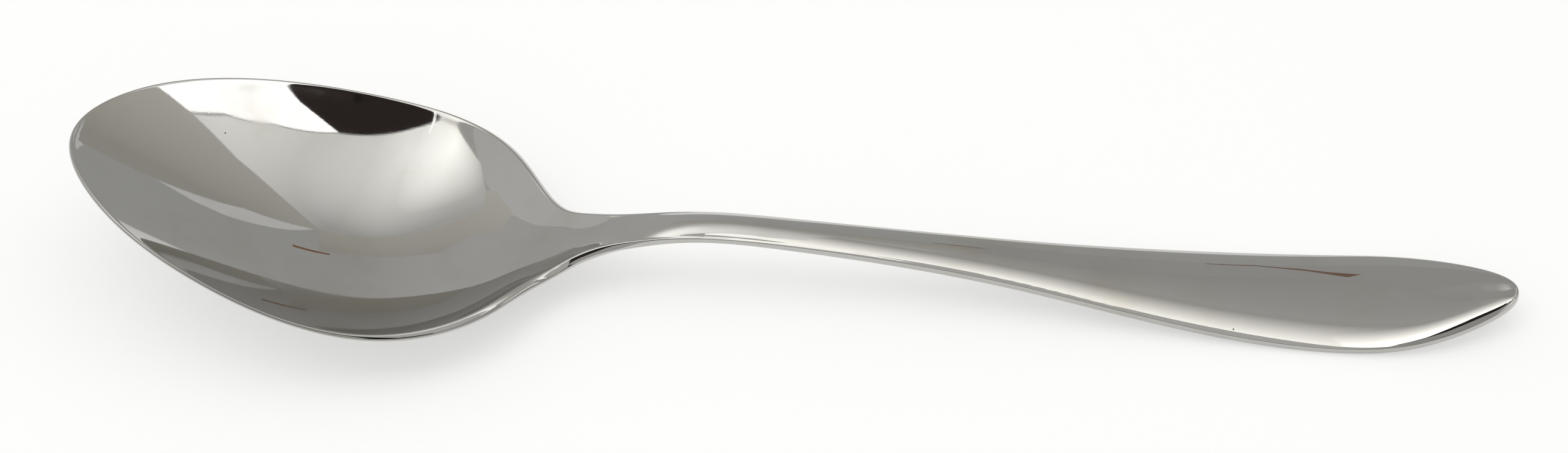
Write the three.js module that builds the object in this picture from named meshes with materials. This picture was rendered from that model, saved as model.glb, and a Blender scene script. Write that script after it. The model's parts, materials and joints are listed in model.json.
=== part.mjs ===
// A tablespoon pressed and forged from one blank of 18/10 stainless steel: an egg-shaped bowl,
// a narrow neck that rises out of the heel, and an arched handle that widens to a rounded paddle.
// Millimetres. X runs along the spoon towards the end of the handle, Y across it, Z up from the table.
import * as THREE from 'three';

// Lengths along the spoon, and widths between its edge lines.
const BOWL_LENGTH = 76;
const HANDLE_LENGTH = 129;
const BOWL_WIDTH = 45.6;
const NECK_WIDTH = 4.4;
const PADDLE_WIDTH = 16.9;

// Heights of the edge line over the table.
const TIP_HEIGHT = 24.5;
const HEEL_HEIGHT = 6.8;
const ARCH_HEIGHT = 11.1;
const PADDLE_HEIGHT = 0.9;
const END_HEIGHT = 5;

// How far the middle lies under the edges in the bowl, and over them on the handle.
const BOWL_DEPTH = 9.2;
const NECK_CROWN = 0.3;
const PADDLE_CROWN = 0.4;

// How far the handle's upper face falls away, beyond its crown, in the rounded shoulders beside its edges.
const SHOULDER_DROP = 1;

// Thickness of the metal at the edge, and along the middle.
const TIP_EDGE = 0.75;
const RIM_EDGE = 0.8;
const HEEL_EDGE = 1.45;
const NECK_EDGE = 1.25;
const PADDLE_EDGE = 1.6;
const TIP_MIDDLE = 1;
const BOWL_MIDDLE = 1.6;
const NECK_MIDDLE = 2.5;
const PADDLE_MIDDLE = 2.4;
const END_MIDDLE = 1.4;

// The edge stands out this far between its rounded corners. A power of 1 makes it an ellipse, less makes it
// squarer.
const EDGE_BULGE = 0.28 * PADDLE_EDGE;
const EDGE_POWER = 0.64;

// Depth of the two flats that lie on the table, under the bowl and under the paddle.
const REST_FLAT = 0.12;

// Fineness of the surface: distance between sections, and points across a face and down an edge.
const SECTION_STEP = 2.2;
const FEWEST_STEPS = 3;
const EDGE_POINTS = 7;
const FACE_POINTS = 2 * EDGE_POINTS + 2;
const FACE_SPREAD = 0.8;

const STEEL_COLOUR = 0xc6c3bd;
const STEEL_ROUGHNESS = 0.08;

const LENGTH = BOWL_LENGTH + HANDLE_LENGTH;

/** A place along the bowl, from the tip, as a share of its length. */
const inBowl = (share) => share * BOWL_LENGTH;

/** A place along the handle, from the end of the bowl, as a share of its length. */
const onHandle = (share) => BOWL_LENGTH + share * HANDLE_LENGTH;

const mix = THREE.MathUtils.lerp;

/** A cubic spline through points, as a function that gives [value, slope]. Its ends are free or flat. */
function spline(at, values, flatEnds = false) {
  const last = at.length - 1;
  const gap = (i) => at[i + 1] - at[i];
  const rise = (i) => (values[i + 1] - values[i]) / gap(i);
  const upper = new Array(last + 1).fill(0);
  const bend = new Array(last + 1).fill(0);
  if (flatEnds) {
    upper[0] = 0.5;
    bend[0] = (3 * rise(0)) / gap(0);
  }
  for (let i = 1; i < last; i += 1) {
    const pivot = 2 * (gap(i - 1) + gap(i)) - gap(i - 1) * upper[i - 1];
    upper[i] = gap(i) / pivot;
    bend[i] = (6 * (rise(i) - rise(i - 1)) - gap(i - 1) * bend[i - 1]) / pivot;
  }
  if (flatEnds) {
    bend[last] = (-6 * rise(last - 1) / gap(last - 1) - bend[last - 1]) / (2 - upper[last - 1]);
  }
  for (let i = last - 1; i >= 0; i -= 1) bend[i] -= upper[i] * bend[i + 1];

  return (x) => {
    let i = 0;
    while (i < last - 1 && x > at[i + 1]) i += 1;
    const width = gap(i);
    const a = (at[i + 1] - x) / width;
    const b = 1 - a;
    const curve = (a ** 3 - a) * bend[i] + (b ** 3 - b) * bend[i + 1];
    const value = a * values[i] + b * values[i + 1] + (curve * width ** 2) / 6;
    const turn = (3 * b ** 2 - 1) * bend[i + 1] - (3 * a ** 2 - 1) * bend[i];
    return [value, rise(i) + (turn * width) / 6];
  };
}

/** A spline through rows of [place along the spoon, value]. */
const profile = (rows) => spline(rows.map(([x]) => x), rows.map(([, value]) => value));

// Plan outline: half-widths from the tip of the bowl to the end of the handle.
const bowlHalf = BOWL_WIDTH / 2;
const neckHalf = NECK_WIDTH / 2;
const paddleHalf = PADDLE_WIDTH / 2;
const outline = [
  [0, 0],
  [inBowl(0.066), 0.436 * bowlHalf],
  [inBowl(0.237), 0.812 * bowlHalf],
  [inBowl(0.5), bowlHalf],
  [inBowl(0.671), mix(neckHalf, bowlHalf, 0.897)],
  [inBowl(0.776), mix(neckHalf, bowlHalf, 0.659)],
  [inBowl(0.842), mix(neckHalf, bowlHalf, 0.362)],
  [inBowl(0.888), mix(neckHalf, bowlHalf, 0.187)],
  [inBowl(0.934), mix(neckHalf, bowlHalf, 0.093)],
  [onHandle(0.008), mix(neckHalf, bowlHalf, 0.026)],
  [onHandle(0.093), neckHalf],
  [onHandle(0.264), mix(neckHalf, paddleHalf, 0.04)],
  [onHandle(0.457), mix(neckHalf, paddleHalf, 0.283)],
  [onHandle(0.651), mix(neckHalf, paddleHalf, 0.764)],
  [onHandle(0.814), paddleHalf],
  [onHandle(0.93), 0.742 * paddleHalf],
  [LENGTH, 0],
];

// Side view: the edge line falls from the tip to the heel, rises over the neck's arch, comes down
// to the table under the paddle and turns up at the end.
const edgeHeight = profile([
  [0, TIP_HEIGHT],
  [inBowl(0.263), mix(HEEL_HEIGHT, TIP_HEIGHT, 0.592)],
  [inBowl(0.553), mix(HEEL_HEIGHT, TIP_HEIGHT, 0.212)],
  [inBowl(0.737), mix(HEEL_HEIGHT, TIP_HEIGHT, 0.129)],
  [inBowl(0.822), mix(HEEL_HEIGHT, TIP_HEIGHT, 0.068)],
  [inBowl(0.882), HEEL_HEIGHT],
  [inBowl(0.941), mix(HEEL_HEIGHT, ARCH_HEIGHT, 0.323)],
  [onHandle(0.008), mix(HEEL_HEIGHT, ARCH_HEIGHT, 0.647)],
  [onHandle(0.078), ARCH_HEIGHT],
  [onHandle(0.186), mix(PADDLE_HEIGHT, ARCH_HEIGHT, 0.949)],
  [onHandle(0.419), mix(PADDLE_HEIGHT, ARCH_HEIGHT, 0.566)],
  [onHandle(0.744), PADDLE_HEIGHT],
  [onHandle(0.884), mix(PADDLE_HEIGHT, END_HEIGHT, 0.183)],
  [LENGTH, END_HEIGHT],
]);

// Height of the middle over the edge line: the bowl's dish, then the handle's crown.
const middleRise = profile([
  [0, 0],
  [inBowl(0.263), -0.75 * BOWL_DEPTH],
  [inBowl(0.553), -BOWL_DEPTH],
  [inBowl(0.737), -0.783 * BOWL_DEPTH],
  [inBowl(0.822), -0.554 * BOWL_DEPTH],
  [inBowl(0.882), -0.288 * BOWL_DEPTH],
  [inBowl(0.941), -0.228 * BOWL_DEPTH],
  [onHandle(0.008), -0.098 * BOWL_DEPTH],
  [onHandle(0.078), 0.65 * NECK_CROWN],
  [onHandle(0.186), NECK_CROWN],
  [onHandle(0.341), 0.8 * NECK_CROWN],
  [onHandle(0.744), PADDLE_CROWN],
  [LENGTH, 0],
]);

// The shoulders start on the neck and are deepest on the paddle.
const shoulderDrop = profile([
  [0, 0],
  [BOWL_LENGTH, 0],
  [onHandle(0.186), 0.02 * SHOULDER_DROP],
  [onHandle(0.341), 0.2 * SHOULDER_DROP],
  [onHandle(0.574), 0.55 * SHOULDER_DROP],
  [onHandle(0.744), 0.95 * SHOULDER_DROP],
  [onHandle(0.853), SHOULDER_DROP],
  [onHandle(0.946), 0.7 * SHOULDER_DROP],
  [LENGTH, 0],
]);

const edgeThickness = profile([
  [0, TIP_EDGE],
  [inBowl(0.526), RIM_EDGE],
  [inBowl(0.816), HEEL_EDGE],
  [BOWL_LENGTH, NECK_EDGE],
  [onHandle(0.186), mix(NECK_EDGE, PADDLE_EDGE, 0.6)],
  [onHandle(0.744), PADDLE_EDGE],
  [LENGTH, PADDLE_EDGE],
]);

const middleThickness = profile([
  [0, TIP_MIDDLE],
  [inBowl(0.526), BOWL_MIDDLE],
  [inBowl(0.816), mix(BOWL_MIDDLE, NECK_MIDDLE, 0.89)],
  [BOWL_LENGTH, NECK_MIDDLE],
  [onHandle(0.186), 0.92 * NECK_MIDDLE],
  [onHandle(0.744), PADDLE_MIDDLE],
  [LENGTH, END_MIDDLE],
]);

// The outline as one smooth curve over its own run, which turns square to the middle at both ends.
const run = [0];
for (let i = 1; i < outline.length; i += 1) {
  const [x0, half0] = outline[i - 1];
  const [x1, half1] = outline[i];
  run.push(run[i - 1] + Math.hypot(x1 - x0, half1 - half0));
}
const outlineX = spline(run, outline.map(([x]) => x), true);
const outlineHalf = spline(run, outline.map(([, half]) => half));

/** Runs at which the sections stand: even steps between the outline's points. */
function sectionRuns() {
  const runs = [];
  for (let i = 1; i < run.length; i += 1) {
    const stretch = run[i] - run[i - 1];
    const steps = Math.max(FEWEST_STEPS, Math.round(stretch / SECTION_STEP));
    for (let k = 0; k < steps; k += 1) runs.push(run[i - 1] + (stretch * k) / steps);
  }
  runs.push(run[run.length - 1]);
  return runs;
}

// Places across a face from -1 to 1, closer together towards the edges.
const across = Array.from({ length: FACE_POINTS }, (_, i) => {
  const reach = (FACE_SPREAD * Math.PI) / 2;
  return Math.sin(mix(-reach, reach, i / (FACE_POINTS - 1))) / Math.sin(reach);
});

// The edge's profile from the upper face to the lower one: [how far out, share of the half thickness up].
const edgeProfile = Array.from({ length: EDGE_POINTS }, (_, i) => {
  const angle = Math.PI / 2 - (Math.PI * (i + 1)) / (EDGE_POINTS + 1);
  const out = EDGE_BULGE * Math.cos(angle) ** EDGE_POWER;
  return [out, Math.sign(angle) * Math.abs(Math.sin(angle)) ** EDGE_POWER];
});

// A tip is a point of the outline, so its faces' slopes are taken this far inside it.
const TIP_INSET = 0.02;

/** One section at a run of the outline: a ring over the upper face, an edge, the lower face and an edge. */
function section(place) {
  const inset = THREE.MathUtils.clamp(place, TIP_INSET, run[run.length - 1] - TIP_INSET);
  const [x, xRate] = outlineX(inset);
  const [half, halfRate] = outlineHalf(inset);
  const [edgeZ, edgeSlope] = edgeHeight(x);
  const [rise, riseSlope] = middleRise(x);
  const [drop, dropSlope] = shoulderDrop(x);
  const thinnest = edgeThickness(x)[0];
  const thickest = middleThickness(x)[0];

  // Half of a shoulder's drop bends the middle of the metal and half thins it, so that the lower face keeps
  // its shape.
  const shoulderPower = 4;
  const at = (v) => {
    const bow = 1 - v ** 2;
    const shoulder = 1 - v ** shoulderPower;
    const shoulderRate = -shoulderPower * v ** (shoulderPower - 1);
    const slopeX = edgeSlope + riseSlope * bow + (dropSlope * shoulder) / 2;
    const rateV = -2 * v * rise + (drop * shoulderRate) / 2;
    const normal = new THREE.Vector3(
      v * halfRate * rateV - slopeX * xRate * half,
      -xRate * rateV,
      xRate * half,
    ).normalize();
    const point = new THREE.Vector3(x, v * half, edgeZ + rise * bow + (drop * shoulder) / 2);
    return { point, normal, thickness: mix(thinnest, thickest - drop, bow) + drop * shoulder };
  };

  const face = (v, side) => {
    const { point, normal, thickness } = at(v);
    return point.addScaledVector(normal, (side * thickness) / 2);
  };

  const edge = (side) => {
    const { point, normal, thickness } = at(side);
    const outward = new THREE.Vector3(-halfRate, side * xRate, 0);
    outward.addScaledVector(normal, -outward.dot(normal)).normalize();
    return edgeProfile.map(([out, up]) => point.clone()
      .addScaledVector(outward, out)
      .addScaledVector(normal, (up * thickness) / 2));
  };

  return [
    ...across.map((v) => face(v, 1)),
    ...edge(1),
    ...across.map((v) => face(-v, -1)),
    ...edge(-1).reverse(),
  ];
}

/** Turns the spoon about Y until bowl and handle both touch the table, then sets it over the origin. */
function layOnTable(points) {
  const settlingTurns = 4;
  const lowest = (some) => some.reduce((low, point) => (point.z < low.z ? point : low));
  const bowl = points.filter((point) => point.x < BOWL_LENGTH);
  const handle = points.filter((point) => point.x > onHandle(0.5));
  const acrossAxis = new THREE.Vector3(0, 1, 0);
  for (let turn = 0; turn < settlingTurns; turn += 1) {
    const heel = lowest(bowl);
    const paddle = lowest(handle);
    const tilt = Math.atan2(paddle.z - heel.z, paddle.x - heel.x);
    points.forEach((point) => point.applyAxisAngle(acrossAxis, tilt));
  }
  const box = new THREE.Box3().setFromPoints(points);
  const middle = (box.min.x + box.max.x) / 2;
  points.forEach((point) => {
    point.x -= middle;
    point.z = Math.max(point.z - box.min.z - REST_FLAT, 0);
  });
}

/** Joins the sections into one closed skin. At each tip a section shrinks to its edge's profile. */
function spoonGeometry() {
  const rings = sectionRuns().map(section);
  const ringSize = rings[0].length;
  const points = rings.flat();
  layOnTable(points);

  const lowerStart = FACE_POINTS + EDGE_POINTS;
  const mirrored = (j) => {
    if (j < FACE_POINTS) return 0;
    if (j < lowerStart) return j;
    if (j < lowerStart + FACE_POINTS) return lowerStart;
    return FACE_POINTS + (ringSize - 1 - j);
  };
  const vertex = (i, j) => {
    const onTip = i === 0 || i === rings.length - 1;
    return i * ringSize + (onTip ? mirrored(j) : j);
  };

  const triangles = [];
  const addTriangle = (a, b, c) => {
    if (a !== b && b !== c && c !== a) triangles.push(a, b, c);
  };
  for (let i = 0; i + 1 < rings.length; i += 1) {
    for (let j = 0; j < ringSize; j += 1) {
      const next = (j + 1) % ringSize;
      addTriangle(vertex(i, j), vertex(i + 1, j), vertex(i + 1, next));
      addTriangle(vertex(i, j), vertex(i + 1, next), vertex(i, next));
    }
  }

  const geometry = new THREE.BufferGeometry();
  geometry.setAttribute('position', new THREE.Float32BufferAttribute(points.flatMap((p) => p.toArray()), 3));
  geometry.setIndex(triangles);
  geometry.computeVertexNormals();
  return geometry;
}

const polishedSteel = new THREE.MeshStandardMaterial({
  name: 'polished_steel',
  color: STEEL_COLOUR,
  metalness: 1,
  roughness: STEEL_ROUGHNESS,
});

const spoon = new THREE.Mesh(spoonGeometry(), polishedSteel);
spoon.name = 'spoon';

const tablespoon = new THREE.Group();
tablespoon.name = 'tablespoon';
tablespoon.add(spoon);

export default tablespoon;
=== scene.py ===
"""A mirror-polished tablespoon on a pale floor, in a small studio whose lights and walls it reflects."""

import json
from math import cos, radians, sin

import bpy
from bpy.props import FloatProperty, FloatVectorProperty, IntProperty, PointerProperty
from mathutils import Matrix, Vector

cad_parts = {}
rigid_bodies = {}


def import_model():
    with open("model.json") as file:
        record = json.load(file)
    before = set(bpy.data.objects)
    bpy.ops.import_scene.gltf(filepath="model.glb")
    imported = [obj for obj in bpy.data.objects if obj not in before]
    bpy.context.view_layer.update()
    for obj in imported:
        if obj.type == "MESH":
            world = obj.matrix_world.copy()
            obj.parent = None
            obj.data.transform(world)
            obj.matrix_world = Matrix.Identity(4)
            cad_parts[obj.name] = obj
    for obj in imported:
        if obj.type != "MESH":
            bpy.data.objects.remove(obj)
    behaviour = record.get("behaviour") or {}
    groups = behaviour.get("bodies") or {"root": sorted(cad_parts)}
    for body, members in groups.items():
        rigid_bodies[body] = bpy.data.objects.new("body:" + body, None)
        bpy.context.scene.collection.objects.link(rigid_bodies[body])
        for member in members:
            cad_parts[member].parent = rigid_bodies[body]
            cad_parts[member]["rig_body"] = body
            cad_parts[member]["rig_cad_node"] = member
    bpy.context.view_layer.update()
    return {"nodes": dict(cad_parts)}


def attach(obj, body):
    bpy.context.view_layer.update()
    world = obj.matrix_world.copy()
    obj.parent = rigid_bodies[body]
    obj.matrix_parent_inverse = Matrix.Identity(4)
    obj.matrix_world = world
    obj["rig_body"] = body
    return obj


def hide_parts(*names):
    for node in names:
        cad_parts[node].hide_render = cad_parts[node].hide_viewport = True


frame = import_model()

bl_info = {
    "name": "Tablespoon",
    "version": (1, 0, 0),
    "blender": (4, 5, 0),
    "location": "View3D > Sidebar > Tablespoon",
    "description": "Dresses a steel tablespoon and sets up the studio that it reflects",
    "category": "Object",
}

MM = 0.001

# Vertices of the solid that lie closer together than this are one corner of the skin.
WELD = 0.002 * MM
# Two triangles that lie flatter to each other than this were one four-sided face.
PAIR_ANGLE = radians(40)

# The film of handling starts to show at one value of its noise and is full at the other.
FILM_START = 0.45
FILM_FULL = 0.75
# Share of the places that have a pit, and the roughness that its dirt adds.
PIT_SHARE = 0.2
PIT_ROUGHNESS = 0.3

# The room's tone changes between these two directions, as X of a direction that is 1 long.
TONE_LEFT = -0.35
TONE_RIGHT = 0.15

# Width of the camera's sensor in millimetres, and how near to it things start to show.
SENSOR_WIDTH = 36
CLIP_START = 10 * MM

# Middle of the bowl's floor. The cards are placed by their directions from it.
BOWL = Vector((-62, 0, 6)) * MM

# Heights over the floor in millimetres: the roof, the boards over the handle and the board over the handle's
# end. What hangs just over or under another one is a layer away from it.
ROOF_HEIGHT = 606
BOARD_HEIGHT = 120
END_HEIGHT = 60
LAYER = 1

# The roof over the spoon, in millimetres seen from above. Lamps light its softbox from behind; the rest is
# plain cloth. Cloth darkens from its front to its back, so each end has a place and a brightness.
ROOF_FRONT = (-300, 0.79)
ROOF_BACK = (680, 0.465)
SOFTBOX = (
    (-470, -140), (-390, -265), (-300, -280), (200, -155), (400, -70), (480, 0), (520, 90), (470, 205),
    (240, 440), (-120, 295), (-250, 245), (-335, 130), (-420, -20),
)
ROOF = (
    (500, 60), (1200, 60), (1200, 1200), (860, 1200), (660, 880), (490, 630), (240, 450), (240, 735),
    (110, 610), (0, 575), (-285, 500), (-325, 300), (-505, 40), (-500, -20), (-300, -20),
)

# Lamps behind the softbox: brightness, middle, radii in millimetres, and turn in degrees.
LAMPS = (
    (0.95, (-365, -215), (440, 160), 52),
    (0.8, (-130, -155), (625, 330), 52),
    (1.0, (740, -180), (2500, 680), 75),
)

# Plain panels: name, colour, strength, height over the floor and outline seen from above, in millimetres.
# The first ones hang with the roof, the hem far over it, and the others low around the handle and its end.
PANELS = (
    ("white_panel", "ffffff", 2.1, ROOF_HEIGHT, (
        (200, -160), (403, -74), (484, -3), (524, 86), (545, 60), (900, 10), (900, -300), (460, -300),
        (340, -215))),
    ("dark_flag", "38312f", 1, ROOF_HEIGHT, (
        (-295, -285), (200, -160), (340, -215), (460, -330), (300, -700), (-340, -700))),
    ("bright_slit", "ffffff", 1.9, ROOF_HEIGHT - LAYER, (
        (-270, -283), (-228, -230), (-220, -234), (-256, -286))),
    ("brown_rail", "8a654f", 1, ROOF_HEIGHT, ((190, 710), (355, 825), (355, 865), (190, 735))),
    ("pale_hem", "e2e2e2", 1, 3000, (
        (3820, 4640), (3690, 4360), (3020, 3400), (1730, 2080), (1560, 2300), (2040, 3010), (3200, 4570),
        (3610, 4860))),
    ("grey_board", "d5d5d3", 1, BOARD_HEIGHT + LAYER, (
        (-55, -46), (-28, -46), (25, -32), (125, -32), (125, -230), (30, -230), (-55, -80))),
    ("cool_board", "b7b6b5", 1, BOARD_HEIGHT + LAYER, ((60, 95), (75, 230), (125, 230), (125, 95))),
    ("paddle_rail", "8a6f61", 1, 30, (
        (83, 33), (82, 36), (80, 43), (76, 52), (70, 50), (70, 52), (76, 55), (80, 47), (82, 40), (84, 36))),
    ("end_flag", "b2b2b0", 1, END_HEIGHT - LAYER, (
        (82, -48), (85, -28), (87, -15), (90, -10), (94, 10), (98, 24), (103, 28), (125, 28), (125, -48))),
    ("end_line", "2a2725", 1, END_HEIGHT - 2 * LAYER, (
        (88, -14), (90, -10), (94, 10), (98, 24), (103, 28), (103, 20), (97, 4), (93, -8))),
)

# Graded boards low around the handle: name, height, front, back, lamps and outline. They darken as the roof
# does, and their lamps are listed as the softbox's are.
BOARDS = (
    ("handle_board", BOARD_HEIGHT, (-32, 1.85), (48, 0.55), (), (
        (25, 60), (18, 24), (17, 0), (9, -25), (-28, -46), (-28, -58), (-6, -62), (25, -32), (125, -32),
        (125, 60))),
    ("paddle_board", BOARD_HEIGHT, (60, 0.56), (125, 0.46), (), (
        (45, 60), (60, 100), (83, 100), (89, 109), (94, 120), (125, 150), (125, 60))),
    ("end_board", END_HEIGHT, (-20, 0.7), (10, 0.55), ((2.2, (92, 2), (200, 12), 72),), (
        (82, -20), (82, 0), (85, 20), (88, 34), (92, 47), (110, 47), (125, 30), (125, -20))),
)

# Cards around the spoon: name, colour, and corners as seen from the bowl. A corner is an azimuth in degrees
# from +Y towards +X, an elevation in degrees and a distance in millimetres.
CARDS = (
    ("camera_body", "2a2725", ((144, 60, 520), (168, 60, 520), (168, 18, 520), (144, 18, 520))),
    ("left_card", "dbdbda", (
        (-80, 12, 900), (-126, 12, 900), (-126, 47, 900), (-100, 57, 900), (-80, 57, 900))),
)


def linear(hex_colour):
    """The linear RGB of an sRGB colour such as "bcbbb8"."""
    channels = [int(hex_colour[i:i + 2], 16) / 255 for i in (0, 2, 4)]
    return [c / 12.92 if c <= 0.04045 else ((c + 0.055) / 1.055) ** 2.4 for c in channels]


def add_node(tree, kind, values=None, links=None, **settings):
    """Adds a node to a tree, with its settings, the values of its sockets and what they are linked from."""
    node = tree.nodes.new(kind)
    for name, value in settings.items():
        setattr(node, name, value)
    for socket, value in (values or {}).items():
        node.inputs[socket].default_value = value
    for socket, source in (links or {}).items():
        tree.links.new(source, node.inputs[socket])
    return node


def new_material(name):
    """An empty material and its node tree."""
    material = bpy.data.materials.new(name)
    material.use_nodes = True
    material.node_tree.nodes.clear()
    return material, material.node_tree


class SpoonSettings(bpy.types.PropertyGroup):
    """The skin of the spoon and the finish of its steel."""

    smoothing: IntProperty(
        name="Smoothing", description="Subdivision levels of the skin", default=2, min=0, max=3)
    steel_colour: FloatVectorProperty(
        name="Steel", description="Colour of the bare polished steel", subtype="COLOR",
        default=linear("bcbbb8"), min=0, max=1)
    film_colour: FloatVectorProperty(
        name="Film", description="Colour of the steel under the faint film that handling leaves",
        subtype="COLOR", default=linear("b6b4ae"), min=0, max=1)
    polish: FloatProperty(
        name="Polish", description="Roughness where the polish is clean", subtype="FACTOR",
        default=0.03, min=0, max=1)
    haze: FloatProperty(
        name="Haze", description="Roughness where handling has dulled the polish", subtype="FACTOR",
        default=0.08, min=0, max=1)
    haze_size: FloatProperty(
        name="Haze size", description="Width of a dulled patch", unit="LENGTH", default=14 * MM)
    ripple_size: FloatProperty(
        name="Ripple size", description="Width of the waves that the buffing wheel leaves", unit="LENGTH",
        default=9 * MM)
    ripple_height: FloatProperty(
        name="Ripple height", description="Height of those waves", unit="LENGTH", default=0.003 * MM)
    hairline_width: FloatProperty(
        name="Hairline width", description="Width of the scratches that wiping leaves", unit="LENGTH",
        default=0.2 * MM)
    hairline_length: FloatProperty(
        name="Hairline length", description="Length of those scratches", unit="LENGTH", default=9 * MM)
    hairline_depth: FloatProperty(
        name="Hairline depth", description="Depth of those scratches", unit="LENGTH", default=0.0004 * MM)
    pit_spacing: FloatProperty(
        name="Pit spacing", description="Distance between the places where the steel may have a pit",
        unit="LENGTH", default=7 * MM)
    pit_size: FloatProperty(
        name="Pit size", description="Width of the widest pit", unit="LENGTH", default=0.6 * MM)
    pit_colour: FloatVectorProperty(
        name="Pit", description="Colour of the dirt in a pit", subtype="COLOR",
        default=linear("45413c"), min=0, max=1)


class StageSettings(bpy.types.PropertyGroup):
    """The floor, the lights and walls around it, and the camera."""

    floor_colour: FloatVectorProperty(
        name="Floor", description="Colour of the paper floor", subtype="COLOR",
        default=linear("f2f2f2"), min=0, max=1)
    floor_size: FloatProperty(
        name="Floor size", description="Length of the floor's sides", unit="LENGTH", default=8)
    floor_lift: FloatProperty(
        name="Floor lift", description="White that the floor adds to its lit colour", subtype="FACTOR",
        default=0.38, min=0, max=1)
    room_left: FloatVectorProperty(
        name="Room, left", description="Colour of the room's walls beside the bowl", subtype="COLOR",
        default=linear("c9c9c8"), min=0, max=1)
    room_right: FloatVectorProperty(
        name="Room, right", description="Colour of the room's walls beside the handle", subtype="COLOR",
        default=linear("bbbbb9"), min=0, max=1)
    roof_height: FloatProperty(
        name="Roof height", description="Height of the cloth roof over the floor", unit="LENGTH",
        default=ROOF_HEIGHT * MM)
    softbox_colour: FloatVectorProperty(
        name="Softbox", description="Colour of the cloth in front of the lamps", subtype="COLOR",
        default=linear("fffffc"), min=0, max=1)
    roof_colour: FloatVectorProperty(
        name="Roof", description="Colour of the cloth away from the lamps", subtype="COLOR",
        default=linear("fffbf3"), min=0, max=1)
    roof_glow: FloatProperty(
        name="Roof glow", description="Share of the cloth's own brightness, without the lamps", default=1)
    lamp_power: FloatProperty(
        name="Lamp power", description="Share of the softbox lamps' full brightness", default=1)
    board_colour: FloatVectorProperty(
        name="Boards", description="Colour of the graded boards", subtype="COLOR",
        default=linear("fffdf9"), min=0, max=1)
    camera_azimuth: FloatProperty(
        name="Camera azimuth", description="Turn of the camera towards the handle's end", subtype="ANGLE",
        default=radians(3.546))
    camera_elevation: FloatProperty(
        name="Camera elevation", description="Height of the camera over the horizon", subtype="ANGLE",
        default=radians(48))
    camera_distance: FloatProperty(
        name="Camera distance", description="Distance from the camera to its target", unit="LENGTH",
        default=450 * MM)
    camera_target: FloatVectorProperty(
        name="Camera target", description="Point at the middle of the picture", subtype="XYZ", unit="LENGTH",
        default=Vector((-2.236, 0, 11.965)) * MM)
    camera_lens: FloatProperty(
        name="Camera lens", description="Focal length", unit="CAMERA", default=72.617)


def polished_steel(settings):
    """18/10 stainless steel, buffed to a mirror after pressing. It shows the room sharply. Buffing leaves low
    waves that bend straight edges a little, and here and there a pit that dirt has filled. Wiping leaves
    hairlines along the spoon, and handling leaves a faint film that dulls it in patches."""
    material, tree = new_material("mirror_polished_stainless_steel")
    place = add_node(tree, "ShaderNodeTexCoord").outputs["Object"]

    haze = add_node(
        tree, "ShaderNodeTexNoise", {"Scale": 1 / settings.haze_size, "Detail": 5, "Roughness": 0.6},
        {"Vector": place})
    film = add_node(
        tree, "ShaderNodeMapRange", {"From Min": FILM_START, "From Max": FILM_FULL},
        {"Value": haze.outputs["Fac"]}, interpolation_type="SMOOTHSTEP").outputs["Result"]

    # Real hairlines are about a fiftieth of a millimetre wide; they are drawn wider, so that they show.
    wiping = add_node(
        tree, "ShaderNodeMapping",
        {"Scale": (1 / settings.hairline_length, 1 / settings.hairline_width, 1 / settings.hairline_width)},
        {"Vector": place})
    hairline = add_node(
        tree, "ShaderNodeTexNoise", {"Scale": 1, "Detail": 2},
        {"Vector": wiping.outputs["Vector"]}).outputs["Fac"]

    # Few of the cells have a pit. Real pits are about a tenth of a millimetre wide; these are drawn wider.
    cells = add_node(
        tree, "ShaderNodeTexVoronoi", {"Scale": 1 / settings.pit_spacing}, {"Vector": place})
    chance = add_node(tree, "ShaderNodeSeparateColor", links={"Color": cells.outputs["Color"]}).outputs["Red"]
    radius = settings.pit_size / settings.pit_spacing / 2
    reach = add_node(
        tree, "ShaderNodeMapRange", {"From Min": 1 - PIT_SHARE, "From Max": 1, "To Min": 0, "To Max": radius},
        {"Value": chance})
    pit = add_node(
        tree, "ShaderNodeMath", {}, {0: cells.outputs["Distance"], 1: reach.outputs["Result"]},
        operation="LESS_THAN").outputs[0]

    clean = add_node(
        tree, "ShaderNodeMix", {"A": (*settings.steel_colour, 1), "B": (*settings.film_colour, 1)},
        {"Factor": film}, data_type="RGBA").outputs["Result"]
    colour = add_node(
        tree, "ShaderNodeMix", {"B": (*settings.pit_colour, 1)}, {"Factor": pit, "A": clean},
        data_type="RGBA").outputs["Result"]
    dullness = add_node(
        tree, "ShaderNodeMapRange", {"To Min": settings.polish, "To Max": settings.haze}, {"Value": film})
    roughness = add_node(
        tree, "ShaderNodeMath", {1: PIT_ROUGHNESS}, {0: pit, 2: dullness.outputs["Result"]},
        operation="MULTIPLY_ADD")

    ripple = add_node(
        tree, "ShaderNodeTexNoise", {"Scale": 1 / settings.ripple_size, "Detail": 1}, {"Vector": place})
    waves = add_node(
        tree, "ShaderNodeBump", {"Strength": 1, "Distance": settings.ripple_height},
        {"Height": ripple.outputs["Fac"]})
    lines = add_node(
        tree, "ShaderNodeBump", {"Strength": 1, "Distance": settings.hairline_depth},
        {"Height": hairline, "Normal": waves.outputs["Normal"]})
    shader = add_node(
        tree, "ShaderNodeBsdfPrincipled", {"Metallic": 1},
        {"Base Color": colour, "Roughness": roughness.outputs[0], "Normal": lines.outputs["Normal"]})
    add_node(tree, "ShaderNodeOutputMaterial", links={"Surface": shader.outputs["BSDF"]})
    return material


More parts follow.
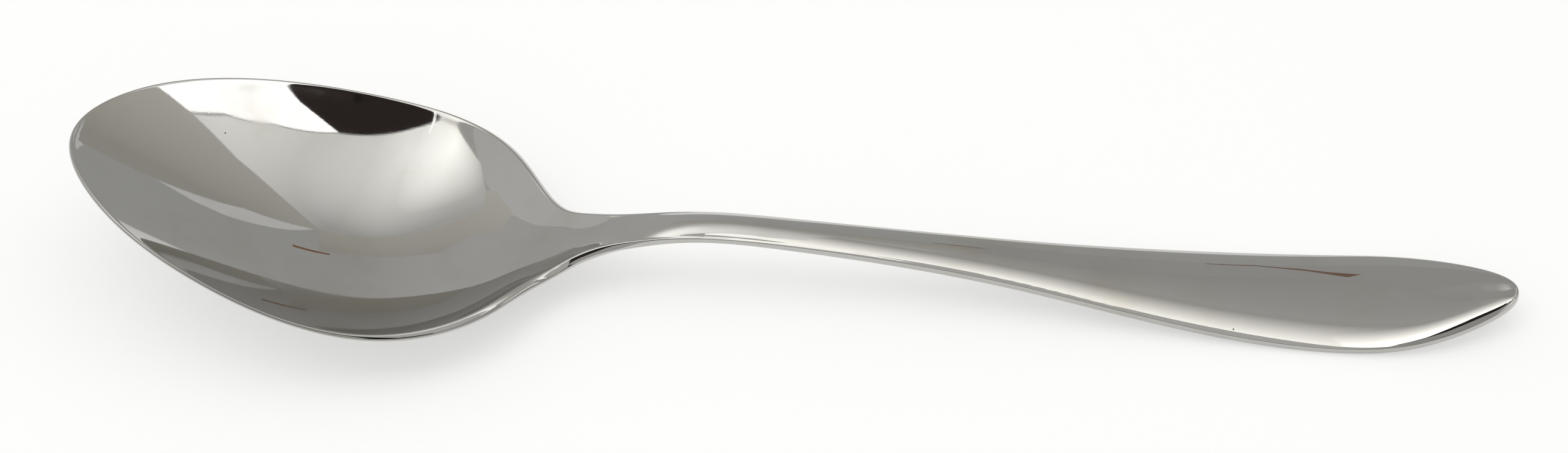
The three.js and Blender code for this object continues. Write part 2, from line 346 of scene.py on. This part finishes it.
def paper_floor(settings):
    """Matt white paper. Its lit colour keeps the spoon's shadow, and a little white added for what the camera
    and the steel see brings the lit part up to white."""
    material, tree = new_material("matt_white_paper")
    seen = add_node(tree, "ShaderNodeLightPath")
    camera_or_glossy = add_node(
        tree, "ShaderNodeMath",
        links={0: seen.outputs["Is Camera Ray"], 1: seen.outputs["Is Glossy Ray"]}, operation="MAXIMUM")
    any_view = add_node(
        tree, "ShaderNodeMath",
        links={0: camera_or_glossy.outputs[0], 1: seen.outputs["Is Transmission Ray"]}, operation="MAXIMUM")
    strength = add_node(
        tree, "ShaderNodeMath", {1: settings.floor_lift}, {0: any_view.outputs[0]}, operation="MULTIPLY")
    lift = add_node(
        tree, "ShaderNodeEmission", {"Color": (1, 1, 1, 1)}, {"Strength": strength.outputs[0]})
    lit = add_node(tree, "ShaderNodeBsdfDiffuse", {"Color": (*settings.floor_colour, 1)})
    both = add_node(tree, "ShaderNodeAddShader", links={0: lit.outputs["BSDF"], 1: lift.outputs["Emission"]})
    add_node(tree, "ShaderNodeOutputMaterial", links={"Surface": both.outputs["Shader"]})
    return material


def glowing_card(name, colour, strength=1):
    """A plain surface that gives off an even light."""
    material, tree = new_material(name)
    light = add_node(tree, "ShaderNodeEmission", {"Color": (*colour, 1), "Strength": strength})
    add_node(tree, "ShaderNodeOutputMaterial", links={"Surface": light.outputs["Emission"]})
    return material


def graded_cloth(name, colour, front, back, height=0, lamps=()):
    """White nylon whose brightness changes evenly from its front to its back. Lamps that stand behind it add
    to that, most at their middles."""
    material, tree = new_material(name)
    place = add_node(tree, "ShaderNodeTexCoord").outputs["Object"]
    depth = add_node(tree, "ShaderNodeSeparateXYZ", links={"Vector": place}).outputs["Y"]
    light = add_node(
        tree, "ShaderNodeMapRange",
        {"From Min": front[0] * MM, "From Max": back[0] * MM, "To Min": front[1], "To Max": back[1]},
        {"Value": depth})
    for glow, (x, y), (length, width), turn in lamps:
        lamp = add_node(
            tree, "ShaderNodeMapping",
            {"Location": (x * MM, y * MM, height), "Rotation": (0, 0, radians(turn)),
             "Scale": (length * MM, width * MM, 1)},
            {"Vector": place}, vector_type="TEXTURE")
        fade = add_node(
            tree, "ShaderNodeTexGradient", links={"Vector": lamp.outputs["Vector"]},
            gradient_type="SPHERICAL")
        light = add_node(
            tree, "ShaderNodeMath", {1: glow}, {0: fade.outputs["Fac"], 2: light.outputs[0]},
            operation="MULTIPLY_ADD")
    cloth = add_node(tree, "ShaderNodeEmission", {"Color": (*colour, 1)}, {"Strength": light.outputs[0]})
    add_node(tree, "ShaderNodeOutputMaterial", links={"Surface": cloth.outputs["Emission"]})
    return material


def pick(obj):
    """Selects one object and nothing else, and makes it active."""
    bpy.ops.object.select_all(action="DESELECT")
    obj.select_set(True)
    bpy.context.view_layer.objects.active = obj


def dress_stage(obj, name, material):
    """Names a stage object and gives it its material."""
    obj.name = name
    obj.data.materials.append(material)


def from_bowl(azimuth, elevation, distance):
    """The place of a card's corner."""
    azimuth, elevation = radians(azimuth), radians(elevation)
    level = cos(elevation)
    return BOWL + distance * MM * Vector((sin(azimuth) * level, cos(azimuth) * level, sin(elevation)))


def flat(outline, height):
    """The corners of a level panel whose outline is given in millimetres."""
    return [Vector((x * MM, y * MM, height)) for x, y in outline]


def add_card(name, corners, material, lights_floor=False):
    """A card through its corners, which the steel reflects and the camera doesn't see. One that lights the
    floor also casts a shadow."""
    bpy.ops.object.select_all(action="DESELECT")
    bpy.ops.mesh.primitive_circle_add(vertices=len(corners), fill_type="NGON")
    card = bpy.context.active_object
    for vertex, corner in zip(card.data.vertices, corners):
        vertex.co = corner
    card.visible_camera = False
    card.visible_diffuse = lights_floor
    card.visible_shadow = lights_floor
    dress_stage(card, name, material)


class TABLESPOON_OT_spoon(bpy.types.Operator):
    """Make the spoon's smooth skin from its solid and give it polished steel"""

    bl_idname = "tablespoon.make_spoon"
    bl_label = "Make Spoon"

    def execute(self, context):
        settings = context.scene.tablespoon_spoon
        solid = frame["nodes"]["spoon"]
        pick(solid)
        bpy.ops.object.duplicate()
        spoon = context.active_object
        if spoon == solid:
            raise RuntimeError("the spoon's solid was not copied")
        spoon.name = "spoon_skin"
        spoon.parent = None
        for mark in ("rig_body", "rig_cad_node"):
            del spoon[mark]

        bpy.ops.object.mode_set(mode="EDIT")
        bpy.ops.mesh.select_all(action="SELECT")
        bpy.ops.mesh.remove_doubles(threshold=WELD)
        bpy.ops.mesh.tris_convert_to_quads(face_threshold=PAIR_ANGLE, shape_threshold=PAIR_ANGLE)
        bpy.ops.object.mode_set(mode="OBJECT")

        skin = spoon.modifiers.new("Smooth skin", "SUBSURF")
        skin.levels = settings.smoothing
        skin.render_levels = settings.smoothing
        bpy.ops.object.modifier_apply(modifier=skin.name)
        bpy.ops.object.shade_smooth()

        spoon.data.materials.clear()
        spoon.data.materials.append(polished_steel(settings))
        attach(spoon, "root")
        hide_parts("spoon")
        return {"FINISHED"}


class TABLESPOON_OT_stage(bpy.types.Operator):
    """Lay the floor, set up the lights and walls and place the camera"""

    bl_idname = "tablespoon.set_stage"
    bl_label = "Set Stage"

    def execute(self, context):
        settings = context.scene.tablespoon_stage
        context.scene.view_settings.view_transform = "Standard"
        self.paint_room(context, settings)
        self.lay_floor(settings)
        self.hang_roof(settings)
        self.stand_cards(settings)
        self.place_camera(context, settings)
        return {"FINISHED"}

    def paint_room(self, context, settings):
        """Plain walls beyond the floor and the cards, a little lighter on the left."""
        room = bpy.data.worlds.new("studio_room")
        room.use_nodes = True
        tree = room.node_tree
        outward = add_node(tree, "ShaderNodeTexCoord").outputs["Generated"]
        side = add_node(tree, "ShaderNodeSeparateXYZ", links={"Vector": outward}).outputs["X"]
        to_right = add_node(
            tree, "ShaderNodeMapRange", {"From Min": TONE_LEFT, "From Max": TONE_RIGHT}, {"Value": side})
        walls = add_node(
            tree, "ShaderNodeMix", {"A": (*settings.room_left, 1), "B": (*settings.room_right, 1)},
            {"Factor": to_right.outputs["Result"]}, data_type="RGBA")
        tree.links.new(walls.outputs["Result"], tree.nodes["Background"].inputs["Color"])
        context.scene.world = room

    def lay_floor(self, settings):
        """A sheet of paper under the spoon, wide enough to fill the picture."""
        bpy.ops.object.select_all(action="DESELECT")
        bpy.ops.mesh.primitive_plane_add(size=settings.floor_size)
        dress_stage(bpy.context.active_object, "paper_floor", paper_floor(settings))

    def hang_roof(self, settings):
        """The softbox over the spoon and, a little higher, the plain cloth that goes on behind it."""
        height = settings.roof_height
        front, back = [(y, settings.roof_glow * glow) for y, glow in (ROOF_FRONT, ROOF_BACK)]
        lamps = [(settings.lamp_power * glow, *shape) for glow, *shape in LAMPS]
        softbox = graded_cloth("softbox_cloth", settings.softbox_colour, front, back, height, lamps)
        add_card("softbox", flat(SOFTBOX, height), softbox, lights_floor=True)
        plain = graded_cloth("plain_cloth", settings.roof_colour, front, back)
        add_card("roof", flat(ROOF, height + LAYER * MM), plain, lights_floor=True)

    def stand_cards(self, settings):
        """Panels, boards and cards around the spoon, which shape what the steel shows."""
        for name, colour, strength, height, outline in PANELS:
            add_card(name, flat(outline, height * MM), glowing_card(name, linear(colour), strength))
        for name, height, front, back, lamps, outline in BOARDS:
            cloth = graded_cloth(name, settings.board_colour, front, back, height * MM, lamps)
            add_card(name, flat(outline, height * MM), cloth)
        for name, colour, corners in CARDS:
            add_card(name, [from_bowl(*corner) for corner in corners], glowing_card(name, linear(colour)))

    def place_camera(self, context, settings):
        """The photograph's camera, which looks down on the near side of the spoon."""
        azimuth, elevation = settings.camera_azimuth, settings.camera_elevation
        back = Vector((sin(azimuth) * cos(elevation), -cos(azimuth) * cos(elevation), sin(elevation)))
        place = Vector(settings.camera_target) + settings.camera_distance * back
        bpy.ops.object.camera_add(location=place, rotation=(-back).to_track_quat("-Z", "Y").to_euler())
        camera = context.active_object
        camera.data.sensor_fit = "HORIZONTAL"
        camera.data.sensor_width = SENSOR_WIDTH
        camera.data.lens = settings.camera_lens
        camera.data.clip_start = CLIP_START
        context.scene.camera = camera


class TABLESPOON_PT_sidebar(bpy.types.Panel):
    """Lists the steps and their settings in the 3D view's sidebar"""

    bl_label = "Tablespoon"
    bl_idname = "TABLESPOON_PT_sidebar"
    bl_space_type = "VIEW_3D"
    bl_region_type = "UI"
    bl_category = "Tablespoon"

    def draw(self, context):
        steps = [
            (TABLESPOON_OT_spoon, context.scene.tablespoon_spoon),
            (TABLESPOON_OT_stage, context.scene.tablespoon_stage),
        ]
        for operator, settings in steps:
            box = self.layout.box()
            for name in settings.bl_rna.properties.keys():
                if name not in ("rna_type", "name"):
                    box.prop(settings, name)
            box.operator(operator.bl_idname)


CLASSES = (
    SpoonSettings,
    StageSettings,
    TABLESPOON_OT_spoon,
    TABLESPOON_OT_stage,
    TABLESPOON_PT_sidebar,
)


def register():
    for cls in CLASSES:
        bpy.utils.register_class(cls)
    bpy.types.Scene.tablespoon_spoon = PointerProperty(type=SpoonSettings)
    bpy.types.Scene.tablespoon_stage = PointerProperty(type=StageSettings)


def unregister():
    del bpy.types.Scene.tablespoon_stage
    del bpy.types.Scene.tablespoon_spoon
    for cls in reversed(CLASSES):
        bpy.utils.unregister_class(cls)


def main():
    register()
    bpy.ops.tablespoon.make_spoon()
    bpy.ops.tablespoon.set_stage()


if __name__ == "__main__":
    main()
